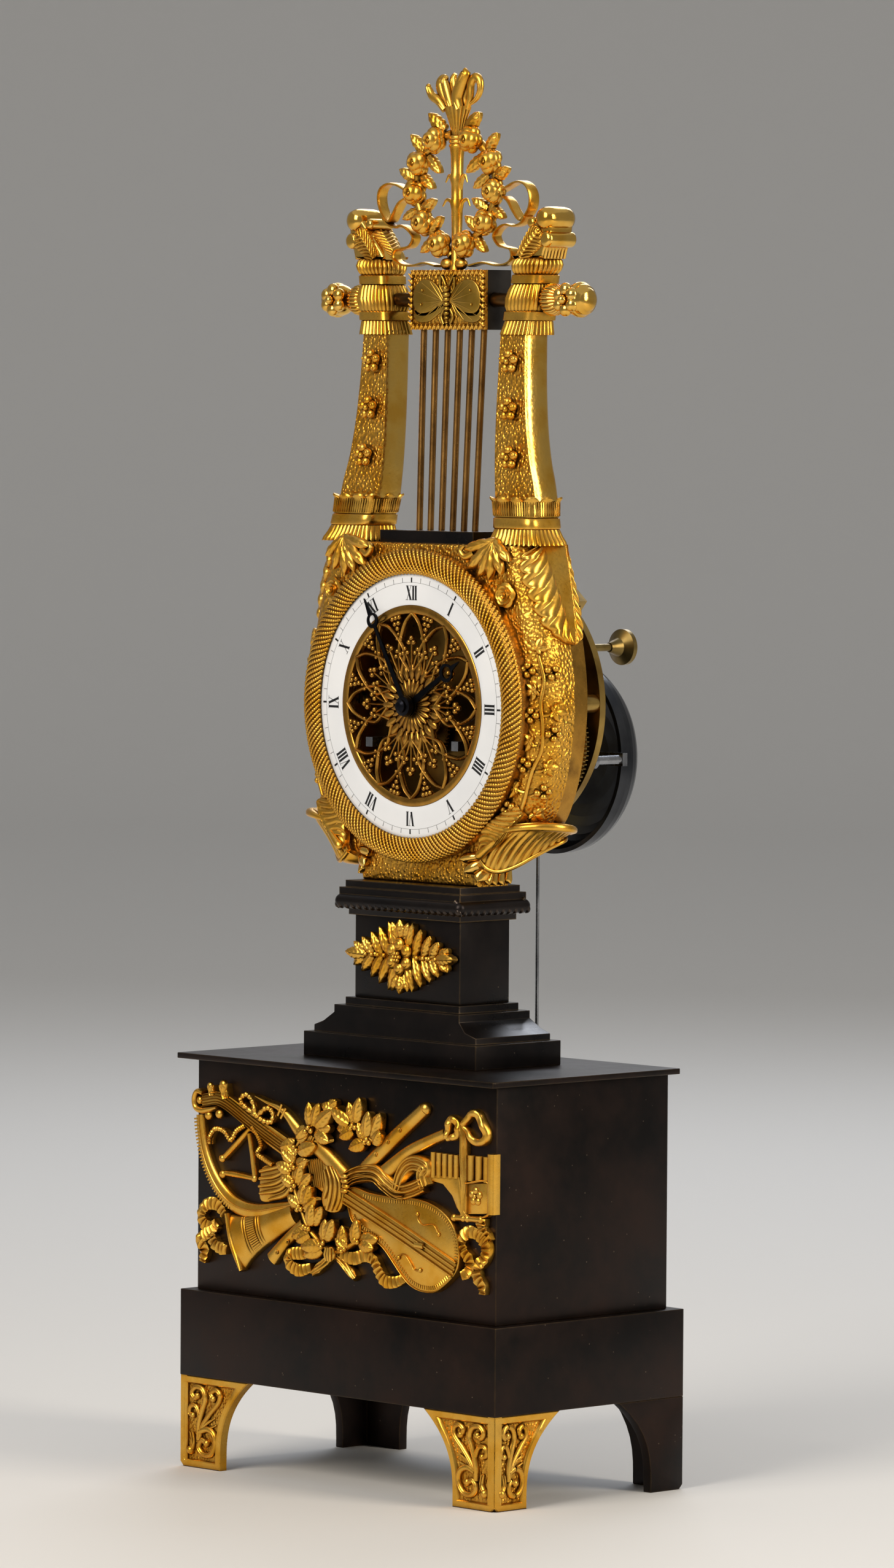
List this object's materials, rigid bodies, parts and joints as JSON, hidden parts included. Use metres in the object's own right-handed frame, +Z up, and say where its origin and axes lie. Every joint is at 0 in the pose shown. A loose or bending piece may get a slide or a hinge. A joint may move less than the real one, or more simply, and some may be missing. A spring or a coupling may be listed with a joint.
{
  "type": "lyre clock",
  "caption": "Mantel clock in the form of a gilt lyre on a dark bronze pedestal and box, with enamel dial, striking movement, silk-hung pendulum, bell and rose crest.",
  "frame": {"origin": "on the floor, under the middle of the clock's own box, which reaches from the top slab's front edge to the regulating knob behind", "axes": "+X to the clock's right as seen from the front, +Y to the back, +Z up"},
  "size_m": [0.1542, 0.1362, 0.474],
  "materials": {
    "dark_bronze": "brown-black patinated bronze, satin",
    "gilt_bronze": "fire-gilt bronze, part matt and part burnished",
    "enamel": "white fired enamel, glossy",
    "blued_steel": "dark blued steel, polished",
    "bright_steel": "plain polished steel",
    "clock_brass": "dull lacquered brass",
    "bell_bronze": "grey turned bell metal",
    "silk": "twisted silk"
  },
  "bodies": {
    "case": {"base_band": "dark_bronze", "base_box": "dark_bronze", "base_top_slab": "dark_bronze", "front_left_foot": "gilt_bronze", "front_right_foot": "gilt_bronze", "rear_left_foot": "dark_bronze", "rear_right_foot": "dark_bronze", "trophy_mount": "gilt_bronze", "pedestal_base": "dark_bronze", "pedestal_die": "dark_bronze", "pedestal_cornice": "dark_bronze", "leaf_spray_mount": "gilt_bronze", "tie_rod": "bright_steel", "lyre_case": "gilt_bronze", "left_arm": "gilt_bronze", "right_arm": "gilt_bronze", "arm_foot_collars": "gilt_bronze", "arm_capitals": "gilt_bronze", "arm_finials": "gilt_bronze", "string_bar": "dark_bronze", "strings": "clock_brass", "yoke_block": "bright_steel", "yoke_plaque": "gilt_bronze", "cross_rod": "dark_bronze", "flower_knobs": "gilt_bronze", "rose_crest": "gilt_bronze", "bezel": "gilt_bronze", "enamel_ring": "enamel", "dial_openwork": "gilt_bronze", "front_plate": "clock_brass", "back_plate": "clock_brass", "plate_pillars": "clock_brass", "movement_straps": "clock_brass", "movement_screws": "bright_steel", "suspension_cock": "clock_brass", "bell": "bell_bronze", "bell_stand": "bright_steel"},
    "hands": {"cannon_pinion": "bright_steel", "minute_hand": "blued_steel", "hand_collet": "bright_steel"},
    "minute_work": {"minute_wheel": "clock_brass"},
    "hour_work": {"hour_wheel": "clock_brass", "hour_hand": "blued_steel"},
    "third": {"third_wheel": "clock_brass"},
    "escape": {"escape_wheel": "clock_brass"},
    "centre": {"centre_wheel": "clock_brass"},
    "going_drum": {"going_barrel": "clock_brass"},
    "going_winder": {"going_arbor": "bright_steel"},
    "locking": {"locking_wheel": "clock_brass"},
    "pins": {"pin_wheel": "clock_brass"},
    "strike_drum": {"strike_barrel": "clock_brass", "count_wheel": "clock_brass"},
    "strike_winder": {"strike_arbor": "bright_steel"},
    "air_brake": {"fly": "clock_brass"},
    "pendulum": {"silk_loop": "silk", "pendulum_rod": "bright_steel", "pendulum_bob": "gilt_bronze"},
    "pallets": {"pallet_anchor": "bright_steel"},
    "regulator": {"regulator_arbor": "clock_brass"},
    "hammer_arm": {"hammer": "bright_steel"}
  },
  "joints": [
    {"name": "hand_setting", "type": "hinge", "parent": "case", "child": "hands", "pos_m": [0, -0.0244, 0.2608], "axis": [0, 1, 0], "continuous": true},
    {"name": "minute_wheel_spin", "type": "hinge", "parent": "case", "child": "minute_work", "pos_m": [-0.00345, -0.0224, 0.25133], "axis": [0, 1, 0], "continuous": true},
    {"name": "hour_spin", "type": "hinge", "parent": "case", "child": "hour_work", "pos_m": [0, -0.0264, 0.2608], "axis": [0, 1, 0], "continuous": true},
    {"name": "third_spin", "type": "hinge", "parent": "case", "child": "third", "pos_m": [0.01032, -0.0024, 0.26803], "axis": [0, 1, 0], "continuous": true},
    {"name": "escape_spin", "type": "hinge", "parent": "case", "child": "escape", "pos_m": [0.0088, -0.0024, 0.27614], "axis": [0, 1, 0], "continuous": true},
    {"name": "centre_spin", "type": "hinge", "parent": "case", "child": "centre", "pos_m": [0, -0.0024, 0.2608], "axis": [0, 1, 0], "continuous": true},
    {"name": "going_drum_spin", "type": "hinge", "parent": "case", "child": "going_drum", "pos_m": [0.0208, -0.0024, 0.248], "axis": [0, 1, 0], "continuous": true},
    {"name": "going_winding", "type": "hinge", "parent": "case", "child": "going_winder", "pos_m": [0.0208, -0.0204, 0.248], "axis": [0, 1, 0], "continuous": true},
    {"name": "locking_spin", "type": "hinge", "parent": "case", "child": "locking", "pos_m": [-0.01434, -0.0024, 0.27883], "axis": [0, 1, 0], "continuous": true},
    {"name": "pin_wheel_spin", "type": "hinge", "parent": "case", "child": "pins", "pos_m": [-0.02176, -0.0024, 0.26998], "axis": [0, 1, 0], "continuous": true},
    {"name": "strike_drum_spin", "type": "hinge", "parent": "case", "child": "strike_drum", "pos_m": [-0.0208, -0.0024, 0.248], "axis": [0, 1, 0], "continuous": true},
    {"name": "strike_winding", "type": "hinge", "parent": "case", "child": "strike_winder", "pos_m": [-0.0208, -0.0204, 0.248], "axis": [0, 1, 0], "continuous": true},
    {"name": "fly_spin", "type": "hinge", "parent": "case", "child": "air_brake", "pos_m": [-0.01576, -0.0024, 0.28689], "axis": [0, 1, 0], "continuous": true},
    {"name": "pendulum_swing", "type": "hinge", "parent": "case", "child": "pendulum", "pos_m": [0, 0.0271, 0.2786], "axis": [0, 1, 0], "range_deg": [-3, 3]},
    {"name": "pallet_rock", "type": "hinge", "parent": "case", "child": "pallets", "pos_m": [0, -0.0024, 0.2786], "axis": [0, 1, 0], "range_deg": [-3, 3]},
    {"name": "regulator_turn", "type": "hinge", "parent": "case", "child": "regulator", "pos_m": [0, 0.0476, 0.2786], "axis": [0, 1, 0], "continuous": true},
    {"name": "hammer_lift", "type": "hinge", "parent": "case", "child": "hammer_arm", "pos_m": [-0.03408, 0.0076, 0.2726], "axis": [0, -1, 0], "range_deg": [0, 20], "stiffness_Nm_per_rad": 0.004}
  ],
  "couplings": [
    {"joint": "minute_wheel_spin", "follows": "hand_setting", "ratio": -0.33333},
    {"joint": "hour_spin", "follows": "hand_setting", "ratio": 0.083333},
    {"joint": "escape_spin", "follows": "third_spin", "ratio": -10},
    {"joint": "centre_spin", "follows": "third_spin", "ratio": -0.071429},
    {"joint": "going_drum_spin", "follows": "third_spin", "ratio": 0.013605},
    {"joint": "pin_wheel_spin", "follows": "locking_spin", "ratio": -0.1},
    {"joint": "strike_drum_spin", "follows": "locking_spin", "ratio": 0.011111},
    {"joint": "fly_spin", "follows": "locking_spin", "ratio": -8},
    {"joint": "pallet_rock", "follows": "pendulum_swing", "ratio": 1}
  ]
}
